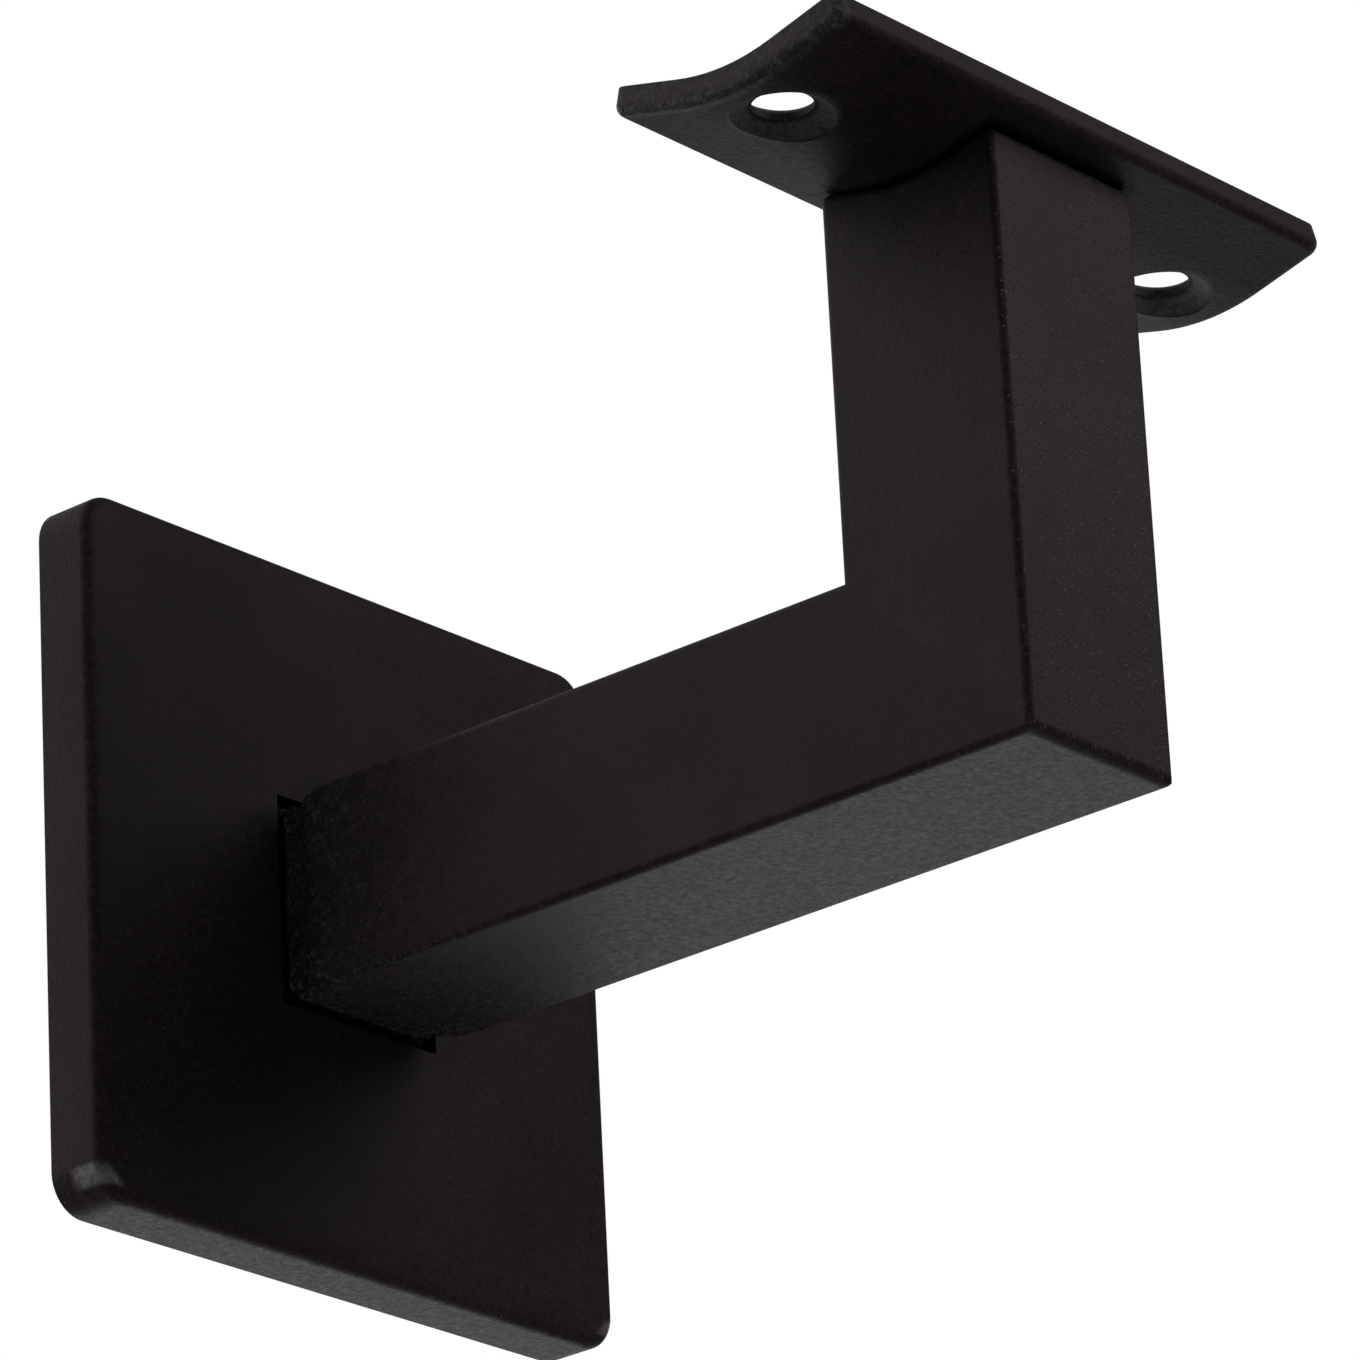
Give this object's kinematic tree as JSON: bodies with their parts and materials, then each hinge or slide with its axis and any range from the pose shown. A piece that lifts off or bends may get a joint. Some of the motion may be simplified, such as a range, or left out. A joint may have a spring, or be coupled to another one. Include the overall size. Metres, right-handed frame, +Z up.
{
  "type": "handrail bracket",
  "caption": "Wall bracket for a round handrail: square covered base plate, mitred square-tube arm and post, hollowed saddle with countersunk screw holes.",
  "frame": {"origin": "centre of the base plate's back face, on the wall", "axes": "+Y into the wall (the arm runs out along -Y), +X along the wall and the rail, +Z up towards the rail"},
  "size_m": [0.07, 0.0995, 0.087],
  "materials": {
    "powder_coat": "matt black powder coat with a fine grain"
  },
  "bodies": {
    "root": {"wall_flange": "powder_coat", "root_weld": "powder_coat", "arm": "powder_coat", "post": "powder_coat", "saddle": "powder_coat", "cover_rosette": "powder_coat"}
  },
  "joints": []
}
